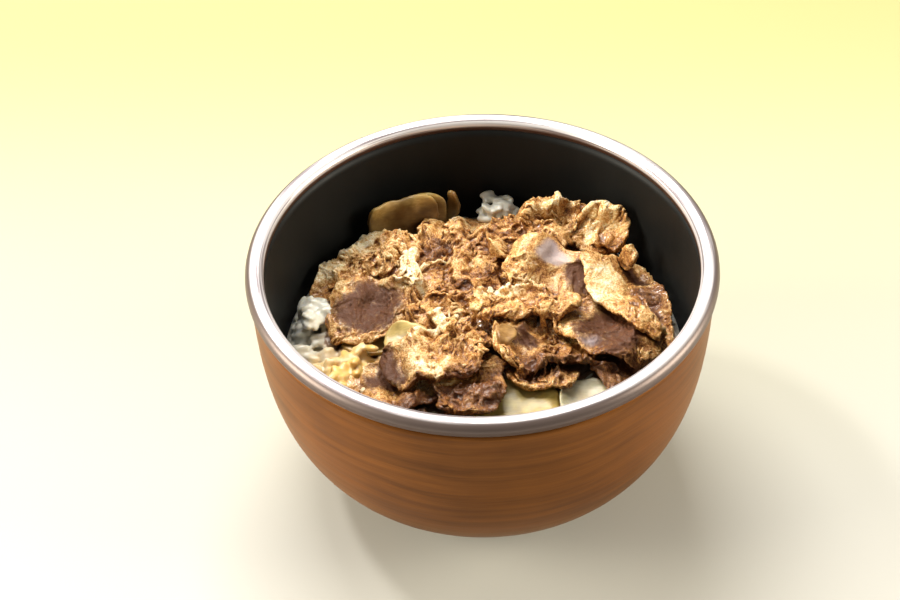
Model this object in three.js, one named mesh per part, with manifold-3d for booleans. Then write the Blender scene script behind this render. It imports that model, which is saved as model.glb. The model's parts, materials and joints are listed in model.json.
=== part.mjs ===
// A bowl of gyudon: steamed rice under thin slices of simmered beef and onion, in a
// deep lacquered bowl with a silver rim band. Millimetres, +Z up, the origin at the
// middle of the foot's underside. The side that faces -Y is the front.
import * as THREE from "three";
import { mergeVertices } from "three/addons/utils/BufferGeometryUtils.js";
import Module from "manifold-3d";

const wasm = await Module();
wasm.setup();

// Driving sizes of the bowl.
const RIM_RADIUS = 75;
const HEIGHT = 86;
const BODY_RADIUS = 74;
const CAVITY_RADIUS = 69.1;
const BAND_HEIGHT = 4;
const FOOT_RADIUS = 36;
const FOOT_WIDTH = 4;
const FOOT_DEPTH = 3;
const FLOOR_HEIGHT = 9;
const TURNS = 48;
const GAP = 0.35;

// Driving sizes of the food.
const RICE_EDGE = 44.5;
const RICE_CROWN = 5;
const GRAIN_LENGTH = 6.6;
const GRAIN_WIDTH = 3;
const GRAIN_SPACING = 6.1;
const BEEF_THICKNESS = 2;
const ONION_THICKNESS = 2.2;
const CELLS_PER_FOLD = 3;
const CELL_ACROSS = 9;
const LAYER_CLEARANCE = 0.4;

const bodyTop = HEIGHT - BAND_HEIGHT - 0.3;
const radians = THREE.MathUtils.degToRad;
const clamp = THREE.MathUtils.clamp;

// The bowl's wall, outside and inside, is a deep U: a superellipse in section.
function wallRadius(z, radius, low) {
  const depth = clamp((bodyTop - z) / (bodyTop - low), 0, 1);
  return radius * Math.pow(1 - Math.pow(depth, 3.13), 1 / 3.57);
}
const outerRadius = (z) => wallRadius(z, BODY_RADIUS, FOOT_DEPTH);
const cavityRadius = (z) => wallRadius(z, CAVITY_RADIUS, FLOOR_HEIGHT);

// Points down one wall, closer together where it turns in towards the floor.
function wallPoints(radiusAt, low, high, steps) {
  const points = [];
  for (let i = 0; i <= steps; i++) {
    const z = high - (high - low) * Math.sin((i / steps) * (Math.PI / 2));
    points.push(new THREE.Vector2(radiusAt(z), z));
  }
  return points;
}

const insideWallPoints = wallPoints(cavityRadius, FLOOR_HEIGHT + 0.5, bodyTop, 5);

// The cavity's radius as the turned wall has it, straight from point to point.
function facetRadius(z) {
  const above = insideWallPoints.findLastIndex((point) => point.y >= z);
  const upper = insideWallPoints[Math.max(0, above)];
  const lower = insideWallPoints[above + 1] ?? upper;
  const share = lower === upper ? 0 : (upper.y - z) / (upper.y - lower.y);
  return THREE.MathUtils.lerp(upper.x, lower.x, share);
}

function bowlProfile() {
  const footTop = 5.2;
  const outside = wallPoints(outerRadius, footTop, bodyTop, 7).reverse();
  const foot = [
    new THREE.Vector2(0, FOOT_DEPTH),
    new THREE.Vector2(FOOT_RADIUS - FOOT_WIDTH - 0.8, FOOT_DEPTH),
    new THREE.Vector2(FOOT_RADIUS - FOOT_WIDTH, 0),
    new THREE.Vector2(FOOT_RADIUS, 0),
    new THREE.Vector2(FOOT_RADIUS + 1, footTop - 0.8),
  ];
  return [...foot, ...outside, ...insideWallPoints, new THREE.Vector2(0, FLOOR_HEIGHT)];
}

// The band's section: a rounded outer shoulder, and a fine lip at the inner edge.
function bandProfile() {
  const section = [
    [CAVITY_RADIUS, -BAND_HEIGHT],
    [BODY_RADIUS, -BAND_HEIGHT],
    [RIM_RADIUS - 0.35, -3.5],
    [RIM_RADIUS, -2.4],
    [RIM_RADIUS - 0.45, -1],
    [RIM_RADIUS - 1.5, -0.15],
    [RIM_RADIUS - 2.8, 0],
    [CAVITY_RADIUS + 0.8, -0.45],
    [CAVITY_RADIUS, -1.2],
  ];
  const points = section.map(([r, z]) => new THREE.Vector2(r, HEIGHT + z));
  return [...points, points[0].clone()];
}

// A lathe turns about +Y, so it is stood up to turn about +Z.
function turned(profile, turns) {
  return new THREE.LatheGeometry(profile, turns).rotateX(Math.PI / 2);
}

// Repeatable noise: a hash of whole numbers, blended between the corners of a cell.
function hash(...cell) {
  let h = 2166136261;
  for (const c of cell) h = Math.imul(h ^ (c + 32768), 16777619);
  h = Math.imul(h ^ (h >>> 13), 1540483477);
  h = Math.imul(h ^ (h >>> 15), 668265263);
  return ((h ^ (h >>> 14)) >>> 0) / 4294967296;
}

function noise(x, y, seed) {
  const ix = Math.floor(x);
  const iy = Math.floor(y);
  const ease = (f) => f * f * (3 - 2 * f);
  const fx = ease(x - ix);
  const fy = ease(y - iy);
  const mix = THREE.MathUtils.lerp;
  const low = mix(hash(ix, iy, seed), hash(ix + 1, iy, seed), fx);
  const high = mix(hash(ix, iy + 1, seed), hash(ix + 1, iy + 1, seed), fx);
  return 2 * mix(low, high, fy) - 1;
}

// The rice's bare top: a low crown, a little uneven.
function riceTop(x, y) {
  const share = (x * x + y * y) / (CAVITY_RADIUS * CAVITY_RADIUS);
  return RICE_EDGE + RICE_CROWN * (1 - share) + 0.6 * noise(x / 9, y / 9, 5);
}

// Lumps of rice that stand higher than the rest of it, at the back wall and the left.
const RICE_LUMPS = [
  { x: -45, y: -17, z: 46, radius: 12, tall: 4 },
  { x: 8, y: 60, z: 49, radius: 5.5, tall: 9 },
  { x: -54, y: 12, z: 46, radius: 7.5, tall: 7.5 },
];

function heapTop(x, y) {
  const tops = RICE_LUMPS.map((lump) => {
    const share = Math.hypot(x - lump.x, y - lump.y) / lump.radius;
    return share < 1 ? lump.z + lump.tall * Math.sqrt(1 - share * share) : 0;
  });
  return Math.max(riceTop(x, y), ...tops);
}

// A map of how high the food reaches so far, on a square grid seen from above.
const MAP_STEP = 2;
const MAP_HALF = 36;
const MAP_SIDE = 2 * MAP_HALF + 1;

class HeightMap {
  constructor(fill) {
    this.values = new Float64Array(MAP_SIDE * MAP_SIDE);
    this.forEach((i, x, y) => (this.values[i] = fill(x, y)));
  }
  forEach(visit) {
    for (let j = 0; j < MAP_SIDE; j++)
      for (let i = 0; i < MAP_SIDE; i++)
        visit(j * MAP_SIDE + i, (i - MAP_HALF) * MAP_STEP, (j - MAP_HALF) * MAP_STEP);
  }
  at(x, y) {
    const gx = clamp(x / MAP_STEP + MAP_HALF, 0, MAP_SIDE - 1.001);
    const gy = clamp(y / MAP_STEP + MAP_HALF, 0, MAP_SIDE - 1.001);
    const i = Math.floor(gx);
    const j = Math.floor(gy);
    const corner = (di, dj) => this.values[(j + dj) * MAP_SIDE + i + di];
    const mix = THREE.MathUtils.lerp;
    const low = mix(corner(0, 0), corner(1, 0), gx - i);
    return mix(low, mix(corner(0, 1), corner(1, 1), gx - i), gy - j);
  }
  // Each value becomes what combine makes of its neighbours within reach.
  spread(reach, combine) {
    const made = new HeightMap(() => 0);
    const cells = Math.round(reach / MAP_STEP);
    this.forEach((index, x, y) => {
      const near = [];
      for (let dj = -cells; dj <= cells; dj++)
        for (let di = -cells; di <= cells; di++)
          if (Math.hypot(di, dj) <= cells + 0.2)
            near.push(this.at(x + di * MAP_STEP, y + dj * MAP_STEP));
      made.values[index] = combine(near);
    });
    return made;
  }
  raise(x, y, z) {
    const i = Math.round(x / MAP_STEP) + MAP_HALF;
    const j = Math.round(y / MAP_STEP) + MAP_HALF;
    if (i < 0 || j < 0 || i >= MAP_SIDE || j >= MAP_SIDE) return;
    const index = j * MAP_SIDE + i;
    this.values[index] = Math.max(this.values[index], z);
  }
}

const average = (near) => near.reduce((sum, v) => sum + v, 0) / near.length;

// What a soft slice laid now would rest on: it bridges the small dips below it.
const restingSurface = (map) => map.spread(6, average);

// The toppings, from the first one laid to the last. x and y place the middle, and
// heading turns the long way. Beef is in thin slices that crumpled as they simmered: their
// folds run across them, and rise, dip and side bend an end or an edge. Onion petals are
// shallow troughs, of a bend radius: those with a tilt stand on edge, and so do the
// crumpled tabs of beef that stand up from the heap.
const TOPPINGS = {
  onion_front_yellow: { x: 9, y: -35, heading: 10, length: 30, width: 20, trough: 26 },
  onion_front_white: { x: 32, y: -33, heading: 40, length: 20, width: 16, trough: 15 },
  onion_left_yellow: { x: -36, y: -3, heading: 4, length: 22, width: 12, trough: 30 },
  onion_front_far: { x: 2, y: -57, heading: -8, length: 26, width: 12, trough: 16 },
  beef_front_under: { x: 18, y: -25, heading: -6, length: 24, width: 13, wave: 12, fold: 2.4 },
  beef_front_low: { x: -24, y: -46, heading: -22, length: 40, width: 22, wave: 13, fold: 2.6 },
  beef_back_left: { x: -31, y: 42, heading: 24, length: 46, width: 28, wave: 14, fold: 3.2 },
  beef_back_middle: { x: 3, y: 45, heading: -4, length: 52, width: 28, wave: 15, fold: 3.6 },
  beef_back_flap: { x: 39, y: 38, heading: 52, length: 42, width: 34, wave: 13, fold: 3.6 },
  beef_right_edge: { x: 56.5, y: 10, heading: -74, length: 58, width: 28, wave: 12, fold: 3.2, side: -1 },
  beef_left_tip: { x: -43, y: 31, heading: 48, length: 42, width: 28, wave: 12, fold: 3.4, side: -1 },
  beef_front_left: { x: -30, y: -26, heading: 12, length: 30, width: 24, wave: 11, fold: 3 },
  beef_front_right: { x: 47, y: -18, heading: 46, length: 28, width: 18, wave: 12, fold: 2.6 },
  beef_front_hanging: { x: -5, y: -28, heading: -98, length: 30, width: 25, wave: 11, fold: 3 },
  beef_middle_back: { x: -10, y: 26, heading: 14, length: 46, width: 34, wave: 11, fold: 4 },
  beef_back_lump: { x: 18, y: 38, heading: 62, length: 36, width: 28, wave: 11, fold: 4.2, rise: 1.6 },
  beef_left_lean: { x: -37, y: 8, heading: -12, length: 34, width: 30, wave: 18, fold: 4, dip: 2 },
  beef_middle: { x: -4, y: 0, heading: 30, length: 44, width: 34, wave: 10, fold: 4 },
  onion_left_green: { x: -25, y: -9, heading: -20, length: 16, width: 13, trough: 20 },
  beef_front_edge: { x: -16, y: -20, heading: 6, length: 34, width: 20, wave: 10, fold: 3.4 },
  beef_front_lumps: { x: 19, y: -14, heading: 14, length: 37, width: 22, wave: 11, fold: 3.8 },
  beef_grey_lean: { x: 24, y: 20, heading: -22, length: 36, width: 28, wave: 17, fold: 3.4 },
  beef_right_lean: { x: 41, y: -7, heading: -34, length: 38, width: 28, wave: 16, fold: 3.6 },
  beef_fat_band: { x: 46, y: 7, heading: -65, length: 46, width: 16, wave: 22, fold: 2 },
  beef_middle_ridge: { x: 14, y: 2, heading: 3, length: 38, width: 17, wave: 12, fold: 3.4 },
  onion_curl: { x: 7, y: -14, heading: 72, length: 10, width: 6.5, trough: 4 },
  beef_strip_left: { x: -23, y: 22, heading: 86, length: 20, width: 6.5, wave: 16, fold: 1 },
  beef_strip_front: { x: -13, y: -6, heading: -58, length: 18, width: 5.5, wave: 16, fold: 1 },
  beef_back_crumple: { x: 27, y: 45.5, z: 60, heading: 6, length: 25, width: 16, trough: 11, tilt: 46, crumple: 2.8 },
  beef_back_fold: { x: 44, y: 40.5, z: 59, heading: -12, length: 20, width: 22, trough: 16, tilt: 48, crumple: 2.4 },
  beef_right_tab: { x: 52, y: 26, z: 57.5, heading: -50, length: 6, width: 10, trough: 9, tilt: 68, crumple: 0.8 },
  onion_back_petal: { x: -27, y: 55, z: 55.5, heading: 12, length: 27, width: 18, trough: 17, tilt: 78, round: 0.55 },
  onion_back_slice: { x: -18, y: 57, z: 55.5, heading: -4, length: 15, width: 15, trough: 24, tilt: 70, round: 0.6 },
  onion_back_tip: { x: -8, y: 60, z: 56.5, heading: -24, length: 5.5, width: 16, trough: 9, tilt: 82 },
};

// A square of cells is eased towards a disc, so that a sheet's corners are rounded.
function roundedSquare(s, t, roundness) {
  const discS = s * Math.sqrt(1 - (t * t) / 2);
  const discT = t * Math.sqrt(1 - (s * s) / 2);
  const mix = THREE.MathUtils.lerp;
  return [mix(s, discS, roundness), mix(t, discT, roundness)];
}

// Bends the stretch past start up or down round a radius; returns [along, rise].
function curled(along, start, radius) {
  const past = Math.abs(along) - start;
  if (past <= 0) return [along, 0];
  const angle = Math.min(past / radius, 1.2);
  const kept = start + radius * Math.sin(angle) + 0.36 * Math.max(0, past - 1.2 * radius);
  return [Math.sign(along) * kept, radius * (1 - Math.cos(angle))];
}

// Near the wall the points crowd together, ever closer, so that none of them crosses it,
// and the folds flatten there.
function insideWall(point, margin, folded = 0) {
  const easing = 7;
  const reach = Math.hypot(point.x, point.y);
  const start = facetRadius(point.z) - margin - easing;
  const past = (reach - start) / easing;
  if (past > 0) {
    const drawn = start + easing * (1 - Math.exp(-past));
    point.x *= drawn / reach;
    point.y *= drawn / reach;
    point.z -= folded * (1 - Math.exp(-past));
  }
  return point;
}

// A grid of points on the middle surface of a slice that lies on the map's surface.
function beefGrid(slice, seed, surface) {
  const { length, width, wave, fold } = slice;
  const turn = radians(slice.heading);
  const rows = Math.round((CELLS_PER_FOLD * length) / wave);
  const columns = Math.max(3, Math.round(width / CELL_ACROSS));
  const grid = [];
  for (let i = 0; i <= rows; i++) {
    const row = [];
    for (let j = 0; j <= columns; j++) {
      const [s, t] = roundedSquare((2 * i) / rows - 1, (2 * j) / columns - 1, 0.75);
      const edge = Math.max(Math.abs(s), Math.abs(t));
      const ragged = 1 + 0.14 * edge * noise(2 * s + 9, 2 * t + 9, seed);
      let along = (s * ragged * length) / 2;
      let across = (t * ragged * width) / 2;
      const phase = (2 * Math.PI * along) / wave + 2.2 * noise(across / 9, along / 30, seed + 1);
      const bumps = 0.75 * (1 + noise(along / 7, across / 7, seed + 2));
      const folded = (fold * (1 - Math.cos(phase))) / 2 + bumps;
      let rise = 0;
      if (slice.rise && s > 0) {
        const [kept, up] = curled(along, length * 0.22, 11);
        along = kept;
        rise += slice.rise * up;
      }
      if (slice.dip) {
        const [kept, up] = curled(across, width * 0.3, 9);
        across = kept;
        rise -= 0.45 * slice.dip * up;
      }
      if (slice.side && slice.side * t < 0) {
        const [kept, up] = curled(across, width * 0.1, 12);
        across = kept;
        rise += up;
      }
      const x = slice.x + along * Math.cos(turn) - across * Math.sin(turn);
      const y = slice.y + along * Math.sin(turn) + across * Math.cos(turn);
      const base = surface.at(x, y) + BEEF_THICKNESS / 2 + LAYER_CLEARANCE;
      const z = base + Math.max(0, folded + rise);
      row.push(insideWall(new THREE.Vector3(x, y, z), 2.2, folded));
    }
    grid.push(row);
  }
  return grid;
}

function gridNormal(grid, i, j) {
  const clampRow = (k) => grid[clamp(k, 0, grid.length - 1)];
  const clampColumn = (row, k) => row[clamp(k, 0, row.length - 1)];
  const along = clampRow(i + 1)[j].clone().sub(clampRow(i - 1)[j]);
  const across = clampColumn(grid[i], j + 1).clone().sub(clampColumn(grid[i], j - 1));
  return along.cross(across).normalize();
}

// The outermost points are moved out, for the slightly larger copy that cuts others.
function widened(grid, by) {
  const rows = grid.length - 1;
  const columns = grid[0].length - 1;
  return grid.map((row, i) =>
    row.map((point, j) => {
      const inner = grid[clamp(i, 1, rows - 1)][clamp(j, 1, columns - 1)];
      if (inner === point) return point.clone();
      const outward = point.clone().sub(inner).normalize();
      return point.clone().addScaledVector(outward, by);
    }),
  );
}

// A laid sheet is thickened straight up and down, by more where it is steep, so that it
// never meets itself in a tight fold. A standing one is thickened square to its face.
function faceOffset(grid, i, j, distance, stands) {
  const normal = gridNormal(grid, i, j);
  if (stands) return normal.multiplyScalar(distance);
  return new THREE.Vector3(0, 0, distance / Math.max(0.55, normal.z));
}

// A closed sheet round a grid of middle points: two faces and the edge between them.
function thickened(grid, thickness, stands) {
  const columns = grid[0].length;
  const count = grid.length * columns;
  const positions = [];
  for (const side of [0.5, -0.5])
    grid.forEach((row, i) =>
      row.forEach((point, j) => {
        const moved = point.clone().add(faceOffset(grid, i, j, side * thickness, stands));
        positions.push(...moved.toArray());
      }),
    );
  const index = [];
  const at = (i, j) => i * columns + j;
  for (let i = 0; i < grid.length - 1; i++)
    for (let j = 0; j < columns - 1; j++) {
      const [a, b, c, d] = [at(i, j), at(i + 1, j), at(i + 1, j + 1), at(i, j + 1)];
      index.push(a, b, c, a, c, d);
      index.push(c + count, b + count, a + count, d + count, c + count, a + count);
    }
  const border = [];
  for (let i = 0; i < grid.length - 1; i++) border.push(at(i, 0));
  for (let j = 0; j < columns - 1; j++) border.push(at(grid.length - 1, j));
  for (let i = grid.length - 1; i > 0; i--) border.push(at(i, columns - 1));
  for (let j = columns - 1; j > 0; j--) border.push(at(0, j));
  border.forEach((a, k) => {
    const b = border[(k + 1) % border.length];
    index.push(b, a, a + count, b, a + count, b + count);
  });
  const geometry = new THREE.BufferGeometry();
  geometry.setAttribute("position", new THREE.Float32BufferAttribute(positions, 3));
  geometry.setIndex(index);
  return geometry;
}

// Between three.js geometry and manifold solids.
function toSolid(geometry) {
  const bare = geometry.clone();
  bare.deleteAttribute("normal");
  bare.deleteAttribute("uv");
  const merged = mergeVertices(bare, 1e-4);
  const mesh = new wasm.Mesh({
    numProp: 3,
    vertProperties: Float32Array.from(merged.attributes.position.array),
    triVerts: Uint32Array.from(merged.index.array),
  });
  return new wasm.Manifold(mesh);
}

function toGeometry(solid) {
  const { numProp, vertProperties, triVerts } = solid.getMesh();
  const positions = [];
  for (let i = 0; i < vertProperties.length; i += numProp)
    positions.push(...vertProperties.subarray(i, i + 3));
  const geometry = new THREE.BufferGeometry();
  geometry.setAttribute("position", new THREE.Float32BufferAttribute(positions, 3));
  geometry.setIndex([...triVerts]);
  geometry.computeVertexNormals();
  return geometry;
}

const largestPiece = (solid) =>
  solid.decompose().reduce((best, piece) => (piece.volume() > best.volume() ? piece : best));

// The middle surface of a petal: narrow at its ends, bent across and a little along.
// A tab of beef that stands up is made the same way, and crumpled more.
function petalGrid(petal, seed, surface) {
  const cell = clamp(petal.length / 4, 2.2, 4.8);
  const rows = Math.max(3, Math.round(petal.length / cell));
  const columns = Math.max(3, Math.round(petal.width / cell));
  const turn = radians(petal.heading);
  const tilt = radians(petal.tilt ?? 0);
  const grid = [];
  for (let i = 0; i <= rows; i++) {
    const row = [];
    for (let j = 0; j <= columns; j++) {
      const [s, t] = roundedSquare((2 * i) / rows - 1, (2 * j) / columns - 1, petal.round ?? 0.9);
      const along = (s * petal.length) / 2;
      const across = (t * petal.width * (1 + 0.14 * noise(2 * s, 2 * t, seed))) / 2;
      const bend = across / petal.trough;
      const flat = petal.trough * Math.sin(bend);
      let rise = petal.trough * (1 - Math.cos(bend)) + (along * along) / 90;
      rise += (petal.crumple ?? 0.5) * noise(along / 6, across / 6, seed + 3);
      const back = flat * Math.cos(tilt) - rise * Math.sin(tilt);
      const up = flat * Math.sin(tilt) + rise * Math.cos(tilt);
      const x = petal.x + along * Math.cos(turn) - back * Math.sin(turn);
      const y = petal.y + along * Math.sin(turn) + back * Math.cos(turn);
      const base = surface.at(x, y) + ONION_THICKNESS / 2 + LAYER_CLEARANCE;
      const z = petal.tilt ? petal.z + up : base + up + 0.3;
      row.push(insideWall(new THREE.Vector3(x, y, z), 2));
    }
    grid.push(row);
  }
  return grid;
}

// Lays every slice and petal on what is already there, and notes how high it reaches.
function layToppings() {
  const map = new HeightMap(riceTop);
  const toppings = Object.entries(TOPPINGS).map(([name, sizes], order) => {
    const isBeef = name.startsWith("beef");
    const gridOf = sizes.trough ? petalGrid : beefGrid;
    const grid = gridOf(sizes, 11 * order + 7, restingSurface(map));
    const thickness = isBeef ? BEEF_THICKNESS : ONION_THICKNESS;
    noteHeights(map, grid, thickness);
    const stands = Boolean(sizes.tilt);
    const solid = toSolid(thickened(grid, thickness, stands));
    const room = toSolid(thickened(widened(grid, GAP), thickness + 2 * GAP, stands));
    return { name, isBeef, solid, cutter: room.add(solid) };
  });
  return { toppings, map };
}

// Marks the map wherever the sheet passes, by points closer together than its cells.
function noteHeights(map, grid, thickness) {
  const steps = 4;
  for (let i = 0; i < grid.length - 1; i++)
    for (let j = 0; j < grid[0].length - 1; j++)
      for (let a = 0; a <= steps; a++)
        for (let b = 0; b <= steps; b++) {
          const near = grid[i][j].clone().lerp(grid[i + 1][j], a / steps);
          const far = grid[i][j + 1].clone().lerp(grid[i + 1][j + 1], a / steps);
          const point = near.lerp(far, b / steps);
          map.raise(point.x, point.y, point.z + thickness / 2);
        }
}

// Where two toppings would meet, the lower one gives way and keeps its largest piece.
function fitToppings(toppings, coreCutter) {
  return toppings.map((topping, order) => {
    let { solid } = topping;
    for (const upper of toppings.slice(order + 1)) solid = solid.subtract(upper.cutter);
    return { ...topping, solid: largestPiece(solid.subtract(coreCutter)) };
  });
}

// The packed rice below its grains: it fills the cavity up to the uneven top.
function riceCore(raise) {
  const turns = TURNS / 2;
  const rings = 7;
  const positions = [0, 0, riceTop(0, 0) + raise, 0, 0, FLOOR_HEIGHT + GAP];
  const wall = insideWallPoints.filter((point) => point.y < RICE_EDGE - 4);
  const loops = [];
  for (let ring = 1; ring <= rings; ring++) loops.push({ share: ring / rings });
  for (const point of wall) loops.push({ radius: point.x, z: point.y + GAP });
  loops.forEach((loop) => {
    for (let k = 0; k < turns; k++) {
      const angle = (2 * Math.PI * k) / turns;
      const reach = (loop.radius ?? loop.share * facetRadius(RICE_EDGE - 2)) - GAP;
      const [x, y] = [reach * Math.cos(angle), reach * Math.sin(angle)];
      positions.push(x, y, loop.z ?? riceTop(x, y) + raise);
    }
  });
  const index = [];
  const at = (loop, k) => 2 + loop * turns + (k % turns);
  for (let k = 0; k < turns; k++) {
    index.push(0, at(0, k), at(0, k + 1));
    for (let loop = 0; loop < loops.length - 1; loop++) {
      index.push(at(loop, k), at(loop + 1, k), at(loop + 1, k + 1));
      index.push(at(loop, k), at(loop + 1, k + 1), at(loop, k + 1));
    }
    index.push(1, at(loops.length - 1, k + 1), at(loops.length - 1, k));
  }
  const geometry = new THREE.BufferGeometry();
  geometry.setAttribute("position", new THREE.Float32BufferAttribute(positions, 3));
  geometry.setIndex(index);
  const lumps = RICE_LUMPS.map(({ x, y, z, radius, tall }) => {
    const ball = new THREE.SphereGeometry(1, 8, 5).rotateX(Math.PI / 2);
    return toSolid(ball.scale(radius + raise, radius + raise, tall + raise).translate(x, y, z));
  });
  return wasm.Manifold.union([toSolid(geometry), ...lumps]);
}

// One cooked grain: two rings of five between two blunt ends.
function grainGeometry() {
  const sides = 5;
  const stations = [-0.55, 0.55];
  const positions = [-GRAIN_LENGTH / 2, 0, 0, GRAIN_LENGTH / 2, 0, 0];
  for (const station of stations)
    for (let k = 0; k < sides; k++) {
      const angle = (2 * Math.PI * k) / sides + station;
      const x = (station * GRAIN_LENGTH) / 2;
      positions.push(x, (GRAIN_WIDTH / 2) * Math.cos(angle), (GRAIN_WIDTH / 2) * Math.sin(angle));
    }
  const index = [];
  const at = (ring, k) => 2 + ring * sides + (k % sides);
  for (let k = 0; k < sides; k++) {
    index.push(0, at(0, k + 1), at(0, k), 1, at(1, k), at(1, k + 1));
    index.push(at(0, k), at(0, k + 1), at(1, k + 1), at(0, k), at(1, k + 1), at(1, k));
  }
  const geometry = new THREE.BufferGeometry();
  geometry.setAttribute("position", new THREE.Float32BufferAttribute(positions, 3));
  geometry.setIndex(index);
  return geometry;
}

// Grains lie on the core wherever it shows: a jittered grid, clear of wall and toppings.
function riceHeap(core, toppings, map) {
  const solidGrain = grainGeometry();
  const cover = wasm.Manifold.union(toppings.map((topping) => topping.cutter));
  const grains = [];
  const half = Math.floor(CAVITY_RADIUS / GRAIN_SPACING);
  for (let i = -half; i <= half; i++)
    for (let j = -half; j <= half; j++) {
      const draw = (k) => hash(i + 50, j + 50, k);
      const x = GRAIN_SPACING * (i + 0.7 * (draw(1) - 0.5));
      const y = GRAIN_SPACING * (j + 0.7 * (draw(2) - 0.5));
      const z = heapTop(x, y) + 0.3 + 0.9 * draw(3);
      if (Math.hypot(x, y) > cavityRadius(z) - GRAIN_LENGTH * 0.6) continue;
      if (map.at(x, y) > heapTop(x, y) + 3.5) continue;
      const pose = new THREE.Matrix4().makeRotationFromEuler(
        new THREE.Euler(6 * draw(6), 0.9 * (draw(4) - 0.5), 6.28 * draw(5), "ZYX"),
      );
      const grain = toSolid(solidGrain.clone().applyMatrix4(pose).translate(x, y, z));
      if (grain.intersect(cover).isEmpty()) grains.push(grain);
    }
  return largestPiece(wasm.Manifold.union([core, ...grains]));
}

// Colour, roughness and metalness of each finish.
const FINISH = {
  lacquer: { color: "#7a4a22", roughness: 0.35, metalness: 0 },
  silver: { color: "#c9c4c2", roughness: 0.25, metalness: 0.9 },
  rice: { color: "#e6e3d2", roughness: 0.45, metalness: 0 },
  beef: { color: "#a97444", roughness: 0.45, metalness: 0 },
  onion: { color: "#c9b276", roughness: 0.35, metalness: 0 },
};

function piece(name, geometry, finish) {
  const mesh = new THREE.Mesh(geometry, new THREE.MeshStandardMaterial(FINISH[finish]));
  mesh.name = name;
  return mesh;
}

const bowl = new THREE.Group();
bowl.add(piece("bowl_body", turned(bowlProfile(), TURNS), "lacquer"));
bowl.add(piece("rim_band", turned(bandProfile(), TURNS), "silver"));

const food = new THREE.Group();
const { toppings: laid, map } = layToppings();
const toppings = fitToppings(laid, riceCore(GAP));
food.add(piece("rice", toGeometry(riceHeap(riceCore(0), toppings, map)), "rice"));
for (const { name, isBeef, solid } of toppings)
  food.add(piece(name, toGeometry(solid), isBeef ? "beef" : "onion"));

const gyudon = new THREE.Group();
gyudon.add(bowl, food);
export default gyudon;
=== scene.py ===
import json
import math

import bmesh
import bpy
import numpy as np
from mathutils import Matrix, Vector
from mathutils.bvhtree import BVHTree

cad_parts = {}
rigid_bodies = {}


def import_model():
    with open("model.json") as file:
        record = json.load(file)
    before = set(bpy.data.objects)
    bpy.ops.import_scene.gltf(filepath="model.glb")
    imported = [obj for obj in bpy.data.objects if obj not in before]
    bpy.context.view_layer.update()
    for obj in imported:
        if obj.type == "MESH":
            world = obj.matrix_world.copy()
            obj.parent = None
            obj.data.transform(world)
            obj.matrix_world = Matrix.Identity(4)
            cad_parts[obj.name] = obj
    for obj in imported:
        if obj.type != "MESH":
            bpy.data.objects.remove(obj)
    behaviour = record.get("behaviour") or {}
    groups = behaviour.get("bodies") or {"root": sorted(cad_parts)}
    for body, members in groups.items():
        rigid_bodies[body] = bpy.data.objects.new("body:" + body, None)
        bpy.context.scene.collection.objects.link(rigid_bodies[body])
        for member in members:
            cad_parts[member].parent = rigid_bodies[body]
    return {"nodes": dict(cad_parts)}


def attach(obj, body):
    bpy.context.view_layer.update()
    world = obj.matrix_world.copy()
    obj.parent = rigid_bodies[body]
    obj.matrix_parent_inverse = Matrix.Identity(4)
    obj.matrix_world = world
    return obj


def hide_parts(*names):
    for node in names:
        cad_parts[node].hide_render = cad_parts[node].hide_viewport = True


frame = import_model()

for name in ("Cube", "Light", "Camera"):
    if name in bpy.data.objects:
        bpy.data.objects.remove(bpy.data.objects[name])
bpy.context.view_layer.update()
mm = 0.001

# The camera stands as in the photograph: about 43 degrees above the table, a little to
# the left of the bowl's middle and leaning over a trace, through a short telephoto lens.
LOOK_AT = Vector((-10.45, 66.74, 2.7)) * mm
CAMERA_DISTANCE = 580 * mm
CAMERA_RISE = 0.7541
CAMERA_LEAN = -0.0373
SENSOR_WIDTH = 36
PHOTO_WIDTH = 900
FOCAL_PIXELS = 1498.5

towards_camera = Vector((0, -math.cos(CAMERA_RISE), math.sin(CAMERA_RISE)))
camera_data = bpy.data.cameras.new("camera")
camera_data.sensor_width = SENSOR_WIDTH
camera_data.lens = FOCAL_PIXELS / PHOTO_WIDTH * SENSOR_WIDTH
camera_data.clip_start = 10 * mm
camera = bpy.data.objects.new("camera", camera_data)
camera.location = LOOK_AT + CAMERA_DISTANCE * towards_camera
level = (-towards_camera).to_track_quat("-Z", "Y").to_matrix()
camera.rotation_euler = (level @ Matrix.Rotation(CAMERA_LEAN, 3, "Z")).to_euler()
bpy.context.scene.collection.objects.link(camera)
bpy.context.scene.camera = camera


# The bowl is a deep moulded bowl with a low foot ring. Outside it has a glossy brown
# lacquer with faint streaks drawn round it, and inside a satin black one.
RIM_RADIUS = 75 * mm
HEIGHT = 86 * mm
BODY_RADIUS = 74 * mm
CAVITY_RADIUS = 69.1 * mm
BODY_TOP = HEIGHT - 4.3 * mm
FLOOR_HEIGHT = 9 * mm
FOOT_DEPTH = 3 * mm
FOOT_OUTSIDE = 36 * mm
FOOT_INSIDE = 32 * mm
FOOT_TOP = 5.4 * mm
BOWL_TURNS = 192
OUTSIDE_STEPS = 40
INSIDE_STEPS = 36
# The wall's section, outside and inside, is a superellipse with these two powers.
WALL_FALL = 3.13
WALL_TURN = 3.57


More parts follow.
